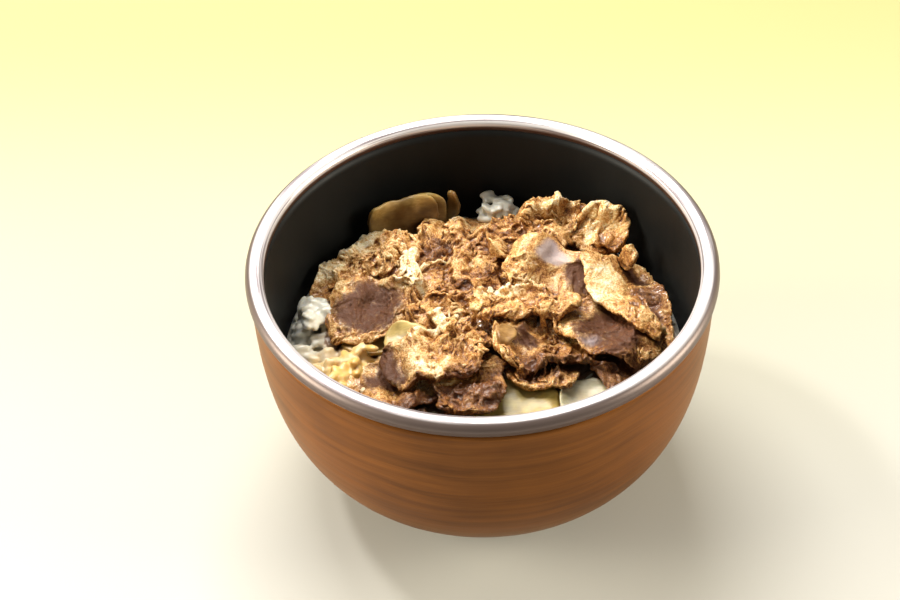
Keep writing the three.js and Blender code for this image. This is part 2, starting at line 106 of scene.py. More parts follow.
class Socket:
    """One output of a shader node, with arithmetic that adds the nodes it needs."""

    def __init__(self, link, tree):
        self.link = link
        self.tree = tree

    def node(self, kind, settings=None, out=0, **inputs):
        """A new node: its settings first, then its sockets by name, or by number as i0."""
        made = self.tree.nodes.new(kind)
        for name, value in (settings or {}).items():
            if name == "stops":
                ramp = made.color_ramp
                while len(ramp.elements) < len(value):
                    ramp.elements.new(1)
                for stop, (place, colour) in zip(ramp.elements, value):
                    stop.position = place
                    stop.color = (*colour, 1)
            else:
                setattr(made, name, value)
        for name, value in inputs.items():
            by_number = name[0] == "i" and name[1:].isdigit()
            key = int(name[1:]) if by_number else name.replace("_", " ")
            if isinstance(value, Socket):
                self.tree.links.new(value.link, made.inputs[key])
            else:
                made.inputs[key].default_value = value
        return Socket(made.outputs[out], self.tree)

    def math(self, operation, *values):
        sockets = {f"i{i}": value for i, value in enumerate(values)}
        return self.node("ShaderNodeMath", {"operation": operation}, **sockets)

    def __add__(self, other):
        return self.math("ADD", self, other)

    def __radd__(self, other):
        return self.math("ADD", other, self)

    def __sub__(self, other):
        return self.math("SUBTRACT", self, other)

    def __rsub__(self, other):
        return self.math("SUBTRACT", other, self)

    def __mul__(self, other):
        return self.math("MULTIPLY", self, other)

    def __rmul__(self, other):
        return self.math("MULTIPLY", other, self)

    def clamp(self):
        return self.node("ShaderNodeClamp", Value=self)

    def step(self, low, high):
        """0 below low and 1 above high, eased between them."""
        settings = {"interpolation_type": "SMOOTHSTEP"}
        limits = {"From_Min": low, "From_Max": high}
        return self.node("ShaderNodeMapRange", settings, Value=self, **limits)

    def mix(self, low, high):
        """The colour low where this is 0, and high where it is 1."""
        settings = {"data_type": "RGBA"}
        colours = {
            "i6": low if isinstance(low, Socket) else (*low, 1),
            "i7": high if isinstance(high, Socket) else (*high, 1),
        }
        return self.node("ShaderNodeMix", settings, out=2, i0=self, **colours)

    def noise(self, size, detail=2.0, roughness=0.5, stretch=(1, 1, 1)):
        """Noise of that size in metres at this place, from 0 to 1."""
        scaled = self.vector("MULTIPLY", tuple(1 / (size * part) for part in stretch))
        values = {"Scale": 1.0, "Detail": detail, "Roughness": roughness}
        return self.node("ShaderNodeTexNoise", None, Vector=scaled, **values)

    def crests(self, size, detail=2.0, roughness=0.5, stretch=(1, 1, 1)):
        """Noise drawn into winding crests: 1 on the crests and 0 in the hollows."""
        away = (self.noise(size, detail, roughness, stretch) - 0.5).math("ABSOLUTE")
        return (1 - 6 * away).clamp()

    def bent(self, size, distance):
        """This place moved by soft noise, so that what reads it runs in bent lines."""
        settings = {"Scale": 1 / size, "Detail": 1.0}
        noise = self.node("ShaderNodeTexNoise", None, out=1, Vector=self, **settings)
        centred = noise.vector("SUBTRACT", (0.5, 0.5, 0.5))
        return self.vector("ADD", centred.vector("MULTIPLY", (2 * distance,) * 3))

    def vector(self, operation, other):
        return self.node("ShaderNodeVectorMath", {"operation": operation}, i0=self, i1=other)


def new_material(name):
    """A material, its shader, and the place of the point on the surface."""
    material = bpy.data.materials.new(name)
    material.use_nodes = True
    tree = material.node_tree
    shader = tree.nodes["Principled BSDF"]
    place = Socket(tree.nodes.new("ShaderNodeTexCoord").outputs["Object"], tree)
    return material, shader, place


def feed(shader, name, value):
    """Gives a socket of the shader a value, or what changes over the surface."""
    if isinstance(value, Socket):
        value.tree.links.new(value.link, shader.inputs[name])
    else:
        shader.inputs[name].default_value = value


def relief(shader, height, distance, strength=1.0):
    """Fine relief of a height in metres that is too small for the mesh."""
    settings = {"Strength": strength, "Distance": distance}
    feed(shader, "Normal", height.node("ShaderNodeBump", None, Height=height, **settings))


def wall_radius(z, radius, low):
    """The wall's radius at height z: the full radius at its top and none at height low."""
    depth = min(max((BODY_TOP - z) / (BODY_TOP - low), 0), 1)
    return radius * (1 - depth**WALL_FALL) ** (1 / WALL_TURN)


def wall_points(radius, low, first, count):
    """Points from the wall's top down to a height, closer where it turns in."""
    made = []
    for i in range(count + 1):
        z = BODY_TOP - (BODY_TOP - first) * math.sin(i / count * math.pi / 2)
        made.append((wall_radius(z, radius, low), z))
    return made


def turned(profile, turns, closed=False):
    """Turns a profile of (radius, height) pairs round the axis; closed joins its ends."""
    verts, faces, rings = [], [], []
    for r, z in profile:
        if r < 0.001 * mm:
            rings.append([len(verts)] * turns)
            verts.append((0, 0, z))
            continue
        rings.append(range(len(verts), len(verts) + turns))
        for k in range(turns):
            angle = 2 * math.pi * k / turns
            verts.append((r * math.cos(angle), r * math.sin(angle), z))
    pairs = list(zip(rings, rings[1:]))
    if closed:
        pairs.append((rings[-1], rings[0]))
    for low, high in pairs:
        for k in range(turns):
            turn = (k + 1) % turns
            faces.append(tuple(dict.fromkeys((low[k], low[turn], high[turn], high[k]))))
    return verts, faces


def new_piece(name, verts, faces):
    """A new smooth-shaded object of those points and faces."""
    mesh = bpy.data.meshes.new(name)
    mesh.from_pydata(verts, [], faces)
    mesh.shade_smooth()
    made = bpy.data.objects.new(name, mesh)
    bpy.context.scene.collection.objects.link(made)
    return made


def place_piece(piece, slot, node, *materials):
    """Puts materials on a piece that stands for a node."""
    piece.data.materials.clear()
    for material in materials:
        piece.data.materials.append(material)
    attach(piece, "root")
    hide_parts(node)


# Lacquer outside: brown, with drawn streaks. Black inside: satin, with faint marks.
# Each pair of colours is the darkest and the lightest tone of the finish.
LACQUER_BROWN = (0.075, 0.021, 0.003), (0.215, 0.071, 0.0115)
LACQUER_BLACK = (0.0035, 0.0037, 0.0036), (0.008, 0.0082, 0.008)
WARM_GLOSS = (1.0, 0.64, 0.30, 1)
lacquer, shader, place = new_material("brown_lacquer")
streaks = place.bent(40 * mm, 4 * mm).noise(9 * mm, 4, 0.6, (6, 6, 0.35))
fine_streaks = place.noise(3 * mm, 3, 0.6, (12, 12, 0.2))
clouds = place.noise(30 * mm, 2, 0.5)
tone = (0.5 * streaks + 0.25 * fine_streaks + 0.3 * clouds).step(0.3, 0.75)
feed(shader, "Base Color", tone.mix(*LACQUER_BROWN))
feed(shader, "Metallic", 0.45)
feed(shader, "Roughness", 0.3 + 0.18 * fine_streaks)
feed(shader, "Specular Tint", WARM_GLOSS)
feed(shader, "Coat Weight", 0.04)
feed(shader, "Coat Roughness", 0.2)
relief(shader, fine_streaks + 0.5 * streaks, 0.06 * mm, 0.5)

black, shader, place = new_material("black_lacquer")
haze = place.noise(14 * mm, 3, 0.6, (1, 1, 4))
feed(shader, "Base Color", haze.mix(*LACQUER_BLACK))
feed(shader, "Roughness", 0.42 + 0.16 * haze)
feed(shader, "Specular IOR Level", 0.17)
relief(shader, place.noise(0.6 * mm, 2, 0.5), 0.02 * mm, 0.4)

foot = [(0, FOOT_DEPTH), (FOOT_INSIDE - 1.4 * mm, FOOT_DEPTH)]
foot += [(FOOT_INSIDE - 0.6 * mm, FOOT_DEPTH - 0.4 * mm), (FOOT_INSIDE, 0.4 * mm)]
foot += [(FOOT_INSIDE + 0.4 * mm, 0), (FOOT_OUTSIDE - 0.4 * mm, 0), (FOOT_OUTSIDE, 0.4 * mm)]
foot += [(FOOT_OUTSIDE + 0.5 * mm, 3.9 * mm), (FOOT_OUTSIDE + 1.8 * mm, 4.9 * mm)]
outside = wall_points(BODY_RADIUS, FOOT_DEPTH, FOOT_TOP, OUTSIDE_STEPS)[::-1]
inside = wall_points(CAVITY_RADIUS, FLOOR_HEIGHT, FLOOR_HEIGHT + 0.1 * mm, INSIDE_STEPS)
bowl = new_piece("bowl", *turned(foot + outside + inside + [(0, FLOOR_HEIGHT)], BOWL_TURNS))
place_piece(bowl, "lacquer", "bowl_body", lacquer, black)
first_inside = (len(foot) + len(outside) - 1) * BOWL_TURNS
for face in bowl.data.polygons:
    face.material_index = 1 if face.index >= first_inside else 0


# The rim band is a rolled silver-coloured metal band set over the wall's edge, with a
# rounded outer shoulder and a fine raised line along its inner edge. Each point of its
# section is a radius and a height, counted from the rim's top.
SHOULDER = 2.8 * mm
SHOULDER_STEPS = 12
SHOULDER_FROM, SHOULDER_TO = -28, 90
# The band's colours hold painted reflections: light and dark streaks round it, a darker outer
# shoulder, and a dark line on its lower roll.
BAND_SILVER = (0.24, 0.205, 0.215), (0.66, 0.62, 0.63)
BAND_OUTSIDE_REFLECTION = (0.13, 0.095, 0.085)
BAND_SHADE_BROWN = (0.060, 0.026, 0.016)
band_section = [
    (CAVITY_RADIUS + 0.05 * mm, -4.0 * mm),
    (BODY_RADIUS - 0.1 * mm, -4.0 * mm),
    (BODY_RADIUS + 0.35 * mm, -3.75 * mm),
]
for i in range(SHOULDER_STEPS + 1):
    turn = i * ((SHOULDER_TO - SHOULDER_FROM) / SHOULDER_STEPS)
    angle = math.radians(SHOULDER_FROM + turn)
    r = RIM_RADIUS - SHOULDER + SHOULDER * math.cos(angle)
    band_section.append((r, -SHOULDER + SHOULDER * math.sin(angle)))
band_section += [
    (RIM_RADIUS - 3.4 * mm, -0.05 * mm),
    (RIM_RADIUS - 4.1 * mm, -0.2 * mm),
    (CAVITY_RADIUS + 1.2 * mm, -0.42 * mm),
    (CAVITY_RADIUS + 0.7 * mm, -0.75 * mm),
    (CAVITY_RADIUS + 0.3 * mm, -1.2 * mm),
    (CAVITY_RADIUS + 0.08 * mm, -1.8 * mm),
]
band_profile = [(r, HEIGHT + z) for r, z in band_section]
band = new_piece("rim_band_metal", *turned(band_profile, BOWL_TURNS, closed=True))
silver, shader, place = new_material("silver_band")
wear = place.noise(18 * mm, 3, 0.6)
flat = place.vector("MULTIPLY", (1, 1, 0))
from_axis = flat.node("ShaderNodeVectorMath", {"operation": "LENGTH"}, out=1, i0=flat)
height = place.node("ShaderNodeSeparateXYZ", None, out=2, Vector=place)
across = {"X": 0.02 * place.node("ShaderNodeSeparateXYZ", None, out=0, Vector=place)}
across["Y"] = 0.02 * place.node("ShaderNodeSeparateXYZ", None, out=1, Vector=place)
rings = place.node("ShaderNodeCombineXYZ", None, Z=from_axis + height, **across)
# Light and dark streaks round the band: painted reflections.
reflection_streaks = rings.noise(0.9 * mm, 2, 0.5).step(0.36, 0.52)
silvered = reflection_streaks.mix(*BAND_SILVER)
# The outer shoulder is darker: a painted reflection of dark surroundings.
outer = from_axis.step(RIM_RADIUS - 2.3 * mm, RIM_RADIUS - 1.2 * mm)
silvered = outer.mix(silvered, BAND_OUTSIDE_REFLECTION)
# The lower roll of the band is dark brown: a painted reflection of the brown bowl and painted
# shade under the shoulder.
band_shade = height.step(HEIGHT - 2.9 * mm, HEIGHT - 2.1 * mm)
feed(shader, "Base Color", band_shade.mix(BAND_SHADE_BROWN, silvered))
feed(shader, "Metallic", 0.5 * band_shade)
feed(shader, "Roughness", 0.33 + 0.12 * wear)
relief(shader, place.noise(0.5 * mm, 2, 0.6), 0.01 * mm, 0.5)
place_piece(band, "silver", "rim_band", silver)


# Cooked short-grain rice: moist, slightly translucent grains, white where the sauce
# hasn't reached and yellow where it has soaked in. They lie over a packed core, stuck
# to each other by their starch, and some are strewn over one petal of the onion.
RICE_EDGE = 44.5 * mm
RICE_CROWN = 5 * mm
RICE_REACH = CAVITY_RADIUS - 4.4 * mm
RICE_STREWN = "onion_left_yellow"
GRAIN_LENGTH = 6.3 * mm
GRAIN_WIDTH = 3 * mm
GRAIN_SPACING = 3.6 * mm
GRAIN_LAYERS = 3
GRAIN_CELL = 0.57 * mm
GRAIN_GAP = 0.15 * mm
COVER_DEPTH = 4 * mm
SOAKED_X, SOAKED_Y = -43 * mm, -16 * mm
SOAKED_REACH = 14 * mm
SOAKED_FRONT = -26 * mm
RICE_WHITE = (0.50, 0.48, 0.40), (0.78, 0.75, 0.66)
RICE_YELLOW = (0.74, 0.47, 0.14), (0.98, 0.90, 0.60)
SAUCE_AND_SHADE_BROWN = (0.20, 0.085, 0.024)
rng = np.random.default_rng(7)


def cell_value(ix, iy, iz, seed):
    """A repeatable value between -1 and 1 for each whole-number cell."""
    h = (ix * 374761393 + iy * 668265263 + iz * 1103515245 + seed * 1274126177) & 0xFFFFFFFF
    h = ((h ^ (h >> 13)) * 1274126177) & 0xFFFFFFFF
    h = ((h ^ (h >> 16)) * 668265263) & 0xFFFFFFFF
    return ((h ^ (h >> 15)) & 0xFFFF) / 32767.5 - 1


def noise(points, size, seed):
    """Smooth noise between -1 and 1 at an array of points, with bumps of that size."""
    scaled = points / size + 100
    cell = np.floor(scaled).astype(np.int64)
    part = scaled - cell
    part = part * part * part * (part * (part * 6 - 15) + 10)
    total = 0
    for dx in (0, 1):
        for dy in (0, 1):
            for dz in (0, 1):
                weight = (
                    (part[:, 0] if dx else 1 - part[:, 0])
                    * (part[:, 1] if dy else 1 - part[:, 1])
                    * (part[:, 2] if dz else 1 - part[:, 2])
                )
                corner = cell_value(cell[:, 0] + dx, cell[:, 1] + dy, cell[:, 2] + dz, seed)
                total = total + weight * corner
    return total


def mesh_points(mesh):
    """The places of a mesh's vertices."""
    points = np.empty(len(mesh.vertices) * 3, np.float32)
    mesh.vertices.foreach_get("co", points)
    return points.reshape(-1, 3).astype(float)


def set_mask(mesh, name, values):
    """Stores a number on each vertex, for the material to read."""
    layer = mesh.attributes.new(name, "FLOAT", "POINT")
    layer.data.foreach_set("value", np.clip(values, 0, 1).astype(np.float32))


def mask(place, name):
    """The number stored on the vertices under a name."""
    return place.node("ShaderNodeAttribute", {"attribute_name": name}, out=2)


nodes = frame["nodes"]
beef_names = sorted(name for name in nodes if name.startswith("beef"))
onion_names = sorted(name for name in nodes if name.startswith("onion"))


def tree_of(names):
    """One search tree of the surfaces of several CAD nodes, and whose each face is."""
    verts, faces, owners = [], [], []
    for name in names:
        mesh = nodes[name].data
        first = len(verts)
        verts += [tuple(v.co) for v in mesh.vertices]
        faces += [tuple(first + i for i in p.vertices) for p in mesh.polygons]
        owners += [name] * len(mesh.polygons)
    return BVHTree.FromPolygons(verts, faces), owners


topping_tree, topping_owner = tree_of(beef_names + onion_names)
rice_tree, _ = tree_of(["rice"])
DOWN = Vector((0, 0, -1))


def top_at(tree, x, y):
    """The height of a tree's highest surface at a place, and the face it is on."""
    found, _, face, _ = tree.ray_cast(Vector((x, y, 0.2)), DOWN)
    return (found.z, face) if found else (None, None)


def sauce_at(x, y):
    """How far sauce has soaked the rice: most at the left front."""
    away = ((x - SOAKED_X) / SOAKED_REACH) ** 2 + ((y - SOAKED_Y) / SOAKED_REACH) ** 2
    left_front = math.exp(-away)
    front = 0.45 * min(max((SOAKED_FRONT - y) / SOAKED_REACH, 0), 1)
    return min(left_front * 1.35 + front, 1)


def grain_shape():
    """The points and faces of one plump grain along X, thinner towards one end."""
    around, stations = 8, (-0.93, -0.72, -0.38, 0, 0.38, 0.72, 0.93)
    points = [(-0.5, 0, 0), (0.5, 0, 0)]
    for s in stations:
        radius = 0.5 * math.sqrt(1 - s * s) ** 0.8 * (1 - 0.07 * s)
        for k in range(around):
            angle = 2 * math.pi * k / around
            points.append((s / 2, radius * math.cos(angle), radius * 0.86 * math.sin(angle)))
    faces = []
    last = 2 + (len(stations) - 1) * around
    for k in range(around):
        turn = (k + 1) % around
        faces.append((0, 2 + turn, 2 + k))
        faces.append((1, last + k, last + turn))
        for row in range(len(stations) - 1):
            a, b = 2 + row * around, 2 + (row + 1) * around
            faces.append((a + k, a + turn, b + turn, b + k))
    scale = np.array([GRAIN_LENGTH, GRAIN_WIDTH, GRAIN_WIDTH])
    return np.array(points) * scale, faces


def swung(points, yaw, pitch, roll):
    """Points turned about X, then Y, then Z."""
    cr, sr, cp, sp, cy, sy = (f(a) for a in (roll, pitch, yaw) for f in (math.cos, math.sin))
    about_x = np.array([[1, 0, 0], [0, cr, -sr], [0, sr, cr]])
    about_y = np.array([[cp, 0, sp], [0, 1, 0], [-sp, 0, cp]])
    about_z = np.array([[cy, -sy, 0], [sy, cy, 0], [0, 0, 1]])
    return points @ (about_z @ about_y @ about_x).T


def is_covered(x, y, rice_z):
    """Whether toppings hide the rice here and all round here."""
    near = ((0, 0), (3, 0), (-3, 0), (0, 3), (0, -3))
    tops = [top_at(topping_tree, x + dx * mm, y + dy * mm)[0] or 0 for dx, dy in near]
    return min(tops) > rice_z + COVER_DEPTH


def scatter_grains():
    """Grains in layers wherever the rice shows or nearly shows, in pairs where it's dry."""
    grain, grain_faces = grain_shape()
    verts, faces = [], []
    cells = int(CAVITY_RADIUS / GRAIN_SPACING) + 1
    for layer in range(GRAIN_LAYERS):
        for i in range(-cells, cells + 1):
            for j in range(-cells, cells + 1):
                draw = rng.uniform(-0.5, 0.5, 8)
                x = (i + 0.9 * draw[0] + 0.33 * layer) * GRAIN_SPACING
                y = (j + 0.9 * draw[1] + 0.5 * layer) * GRAIN_SPACING
                rice_z, _ = top_at(rice_tree, x, y)
                top_z, face = top_at(topping_tree, x, y)
                if top_z and topping_owner[face] == RICE_STREWN:
                    rice_z = top_z
                if rice_z is None or math.hypot(x, y) > RICE_REACH:
                    continue
                if (layer == 2 and draw[7] > -0.2) or is_covered(x, y, rice_z):
                    continue
                sauce = sauce_at(x, y)
                z = rice_z + (-1.5 + 0.9 * layer + 0.9 * draw[2] + 1.6 * sauce) * mm
                steep = 0.7 if layer < 2 and sauce < 0.5 else 1.3
                aside = np.array((0.8 * mm * draw[5], 2.4 * mm, 0))
                for beside in (0, 1) if sauce < 0.3 else (0,):
                    shape = grain * (1 + 0.28 * draw[3]) + aside * beside
                    shape = swung(shape, 7 * draw[4], steep * draw[5], 1.2 * draw[6]) + (x, y, z)
                    reach = np.hypot(shape[:, 0], shape[:, 1])
                    limit = [wall_radius(h, CAVITY_RADIUS, FLOOR_HEIGHT) for h in shape[:, 2]]
                    if (reach > np.array(limit) - GRAIN_GAP).any():
                        continue
                    first = len(verts)
                    verts += [tuple(p) for p in shape]
                    faces += [tuple(first + k for k in face) for face in grain_faces]
    return verts, faces


def shaped(name, source, *changes):
    """A copy of a mesh after modifiers, each given as its type and its settings."""
    rough = bpy.data.objects.new(name, source)
    bpy.context.scene.collection.objects.link(rough)
    for kind, settings in changes:
        modifier = rough.modifiers.new(kind.lower(), kind)
        for key, value in settings.items():
            setattr(modifier, key, value)
    graph = bpy.context.evaluated_depsgraph_get()
    mesh = bpy.data.meshes.new_from_object(rough.evaluated_get(graph))
    bpy.data.objects.remove(rough)
    mesh.name = name
    mesh.shade_smooth()
    return mesh


CRUMB_POINTS = 120


def drop_crumbs(mesh):
    """Takes away the small specks that thin edges leave loose in a skin."""
    loose = bmesh.new()
    loose.from_mesh(mesh)
    seen = [False] * len(loose.verts)
    crumbs = []
    for start in loose.verts:
        if seen[start.index]:
            continue
        seen[start.index] = True
        island = [start]
        for vertex in island:
            for edge in vertex.link_edges:
                other = edge.other_vert(vertex)
                if not seen[other.index]:
                    seen[other.index] = True
                    island.append(other)
        if len(island) < CRUMB_POINTS:
            crumbs += island
    bmesh.ops.delete(loose, geom=crumbs, context="VERTS")
    loose.to_mesh(mesh)
    loose.free()


def skinned(name, source, cell, smoothing):
    """A piece with one even skin over all of a mesh, its facets smoothed away."""
    skin = ("REMESH", {"mode": "VOXEL", "voxel_size": cell})
    soften = ("SMOOTH", {"factor": 0.5, "iterations": smoothing})
    mesh = shaped(name, source, skin, soften)
    drop_crumbs(mesh)
    made = bpy.data.objects.new(name, mesh)
    bpy.context.scene.collection.objects.link(made)
    return made


# Up the wall side from the bowl's floor, then over the crown to the middle.
core_floor = FLOOR_HEIGHT + 0.3 * mm
core_wall = wall_points(CAVITY_RADIUS - 0.3 * mm, core_floor, FLOOR_HEIGHT + 2 * mm, 12)
core_profile = [(0, FLOOR_HEIGHT + 0.4 * mm)]
core_profile += [(r, z) for r, z in core_wall[::-1] if z < RICE_EDGE - 3 * mm]
CROWN_RINGS = 30
for ring in range(CROWN_RINGS + 1):
    r = (CAVITY_RADIUS - 2.6 * mm) * (1 - ring / CROWN_RINGS)
    crown = RICE_CROWN * (1 - (r / CAVITY_RADIUS) ** 2)
    core_profile.append((r, RICE_EDGE + crown - 0.8 * mm))
core_verts, core_faces = turned(core_profile, 96)
grain_verts, grain_faces = scatter_grains()
core = new_piece("rice_core", core_verts, core_faces)
loose = bpy.data.meshes.new("loose_grains")
loose.from_pydata(grain_verts, [], grain_faces)
rice = skinned("rice_grains", loose, GRAIN_CELL, 2)
for piece in (core, rice):
    points = mesh_points(piece.data)
    soaked, stained = [], []
    for x, y, z in points:
        soaked.append(sauce_at(x, y))
        # Rice with toppings above it is marked stained: sauce soaked in, and painted shade under
        # them.
        stained.append((top_at(topping_tree, x, y)[0] or 0) > z + 0.5 * mm)
    set_mask(piece.data, "soaked", np.array(soaked) * (1 + 0.5 * noise(points, 4 * mm, 21)))
    set_mask(piece.data, "stained", np.array(stained) * 1.0)
rice_look, shader, place = new_material("cooked_rice")
soak = mask(place, "soaked") + 0.35 * (place.noise(7 * mm, 2) - 0.5)
grain_tone = place.noise(3.2 * mm, 2)
white = grain_tone.mix(*RICE_WHITE)
# The cream crests of this speckle on the soaked rice are partly painted glints, partly the
# grains' own paler tone.
speckle = place.bent(3 * mm, 1.5 * mm).crests(1.6 * mm, 2, 0.6, (1, 1.8, 1))
yellow = speckle.mix(*RICE_YELLOW)
bare = soak.clamp().mix(white, yellow)
# Under the toppings the rice turns dark brown: sauce stain and painted shade.
feed(shader, "Base Color", (0.85 * mask(place, "stained")).mix(bare, SAUCE_AND_SHADE_BROWN))
feed(shader, "Roughness", 0.24 + 0.2 * grain_tone)
feed(shader, "Subsurface Weight", 0.5)
feed(shader, "Subsurface Radius", (1.0, 0.85, 0.6))
feed(shader, "Subsurface Scale", 1.6 * mm)
feed(shader, "Coat Weight", 0.2)
feed(shader, "Coat Roughness", 0.15)
relief(shader, place.noise(0.9 * mm, 3), 0.08 * mm, 0.5)
for piece in (core, rice):
    place_piece(piece, "rice", "rice", rice_look)


# Thin slices of beef, simmered until they crumpled: dark reddish brown lean between
# broad seams of golden fat, torn into frills, all of it wet with sauce. They lie over
# each other and the rice, and three of them stand up.
STANDING = {"beef_back_crumple", "beef_back_fold", "beef_right_tab"}
ALL_FAT = STANDING | {"beef_fat_band"}
SHINING = {"beef_grey_lean", "beef_right_lean"}
SLICE_CELL = 0.44 * mm
FRILL_COUNT = 800
FRILL_REACH = 64 * mm
FIBRE_DEPTH = 0.34 * mm
# A standing slice is bent along the first of these, and crumpled along the second.
STANDING_BEND = (-0.2, -0.7, 0.6)
STANDING_CRUMPLE = (0.7, 0.1, 0.7)
WALL_GAP = 0.5 * mm
OPEN_REACH = 11 * mm

# Each row is a patch of one look: x, y, half length, half width in mm, heading, strength.
LEAN = [
    (-38, 9, 13, 12, 0, 1.3),
    (42, -9, 12, 12, -30, 1.35),
    (-31, -22, 8, 7, 0, 1.15),
    (33, 18, 9, 7, -35, 1.1),
    # This patch darkens a hollow with the lean's colour: painted shade.
    (13, -10, 6, 5, 20, 0.95),
    (52, 23, 4, 2.4, -60, 1.2),
    (60, 6, 5, 2.6, -75, 1.2),
]
# The SHEEN rows mark a painted sheen: wet lean drawn pale grey as if it reflects the light.
SHEEN = [(25.5, 26, 6, 4.2, 8, 1.2), (34, -14, 4, 3, 0, 0.5)]
BROWN = [
    # The rows at the front, with y below -20, darken the slices hanging towards the front: their
    # sauce-soaked colour and painted shade.
    (-3, -34, 13, 10, 0, 1.2),
    (-22, -37, 9, 8, 0, 1.15),
    (22, -23, 11, 7, 0, 1.15),
    (40, -25, 13, 8, 35, 1.2),
    (-15, 34, 6, 6, 0, 0.9),
    (9, 38, 7, 5, 20, 0.9),
    (-8, 16, 5, 5, 0, 0.8),
    (58, 10, 7, 15, -15, 0.95),
    (2, 22, 5, 4, 0, 0.75),
    (-26, -48, 22, 9, -20, 1.1),
]
CREAM = [
    (43, 42, 8, 6, -20, 1.1),
    (-42, 42, 14, 8, 30, 1.3),
    (-3, 50, 8, 4, 0, 1.0),
    (10, 9, 15, 5, 5, 0.8),
    (28, -8, 5, 5, 0, 1.0),
    (-18, -25, 9, 3.5, 0, 1.1),
    (-23, 22, 4, 11, 0, 1.2),
    (-13, -6, 3, 9, -30, 1.2),
    (42, 12, 7, 16, -20, 0.8),
    (-53, 32, 6, 10, 20, 1.2),
    (16, 16, 10, 4, 10, 0.7),
    (27, 47, 8, 5, 0, 0.8),
]
SMOOTH = [
    (42, 12, 7, 20, -20, 1.1),
    (45, 42, 9, 9, -10, 1.0),
    (26, 27, 11, 9, -15, 1.5),
]


def eased(value, low, high):
    """0 below low and 1 above high, eased between them."""
    t = np.clip((value - low) / (high - low), 0, 1)
    return t * t * (3 - 2 * t)


def patches(points, rows, low=0.2, high=0.75, rough=1.0):
    """1 inside patches and 0 outside them, with ragged borders."""
    total = np.zeros(len(points))
    drift = [
        rough * (3.0 * noise(points, 5 * mm, seed) + 1.3 * noise(points, 2 * mm, seed + 1))
        for seed in (31, 33)
    ]
    for x, y, half_length, half_width, heading, strength in rows:
        dx = points[:, 0] / mm + drift[0] - x
        dy = points[:, 1] / mm + drift[1] - y
        c, s = math.cos(math.radians(heading)), math.sin(math.radians(heading))
        away = np.hypot((dx * c + dy * s) / half_length, (dy * c - dx * s) / half_width)
        total = np.maximum(total, strength * (1.35 - away))
    return eased(total, low, high)


def ribbon(x, y, heading, length, width, draw):
    """A closed crumpled ribbon half sunk in the slices, as (points, faces)."""
    steps, across = max(6, int(length / (0.9 * mm))), 3
    bend = (draw[5] - 0.5) * 3
    thickness = (0.65 + 0.4 * draw[6]) * mm
    lean_over = (draw[8] - 0.5) * 2.4
    middle, offset = [], []
    for i in range(steps + 1):
        t = i / steps - 0.5
        along = heading + bend * t
        x += math.cos(along) * length / steps
        y += math.sin(along) * length / steps
        z, face = top_at(topping_tree, x, y)
        if z is None or topping_owner[face] not in beef_names:
            return None
        side = np.array([-math.sin(along), math.cos(along), 0])
        wave = math.sin(t * length / (0.8 * mm) + 6 * draw[7])
        roll = lean_over + 0.5 * wave
        cross = side * math.cos(roll) + np.array([0, 0, math.sin(roll)])
        face_out = -side * math.sin(roll) + np.array([0, 0, math.cos(roll)])
        centre = np.array([x, y, z + 0.5 * mm]) + side * 0.5 * mm * wave
        narrow = width * (1 - (2 * abs(t)) ** 3 * 0.7)
        for j in range(across + 1):
            middle.append(centre + cross * narrow * (j / across - 0.5))
            offset.append(face_out * thickness / 2)
    points = [tuple(m + o) for m, o in zip(middle, offset)]
    points += [tuple(m - o) for m, o in zip(middle, offset)]
    columns, half = across + 1, len(middle)
    faces = []
    for i in range(steps):
        for j in range(across):
            a = i * columns + j
            b = a + columns
            faces += [(a, b, b + 1, a + 1), (a + 1 + half, b + 1 + half, b + half, a + half)]
    border = [i * columns for i in range(steps)]
    border += [steps * columns + j for j in range(across)]
    border += [i * columns + across for i in range(steps, 0, -1)]
    border += list(range(across, 0, -1))
    for a, b in zip(border, border[1:] + border[:1]):
        faces.append((b, a, a + half, b + half))
    return points, faces


def frill_ribbons(count):
    """Torn frills on the slices: crumpled ribbons, listed by the slice they lie on."""
    ribbons = {name: [] for name in beef_names}
    for _ in range(count):
        draw = rng.uniform(0, 1, 10)
        radius = FRILL_REACH * math.sqrt(draw[0])
        angle = 2 * math.pi * draw[1]
        x, y = radius * math.cos(angle), radius * math.sin(angle)
        z, face = top_at(topping_tree, x, y)
        if z is None or topping_owner[face] not in beef_names:
            continue
        length, width = (5 + 9 * draw[3]) * mm, (1.4 + 2 * draw[4]) * mm
        made = ribbon(x, y, 2 * math.pi * draw[2], length, width, draw)
        if made and patches(np.array(made[0]), LEAN + SMOOTH + SHEEN).max() < 0.5:
            ribbons[topping_owner[face]].append(made)
    return ribbons


def joined_mesh(name, source, parts):
    """A CAD node's mesh with other closed parts added to it."""
    verts = [tuple(v.co) for v in source.vertices]
    faces = [tuple(p.vertices) for p in source.polygons]
    for points, part_faces in parts:
        first = len(verts)
        verts += points
        faces += [tuple(first + k for k in face) for face in part_faces]
    mesh = bpy.data.meshes.new(name)
    mesh.from_pydata(verts, [], faces)
    return mesh


def folds(points, turn, seed=60):
    """Heights of soft forms, folds and fibres at places seen from above."""
    flat = points * (1, 1, 0.35)
    warp = np.stack([noise(flat, 6 * mm, seed + k) for k in (1, 2, 3)], 1)
    bent = flat + 2.6 * mm * warp
    large = noise(bent, 7 * mm, seed + 4)
    middle = 2.1 * np.abs(noise(bent, 2.3 * mm, seed + 5)) - 0.6
    along = swung(bent, turn, 0, 0) * (0.5, 1, 0.9)
    fine = 0.6 - 2.1 * np.abs(noise(along, 0.95 * mm, seed + 6))
    return large, middle, fine


def swayed(points):
    """Every piece of the food is drawn aside by the same soft drift, so layers keep apart."""
    moved = points.copy()
    for axis, seed in ((0, 71), (1, 72)):
        moved[:, axis] += 1.7 * mm * noise(points, 6.5 * mm, seed)
    return moved


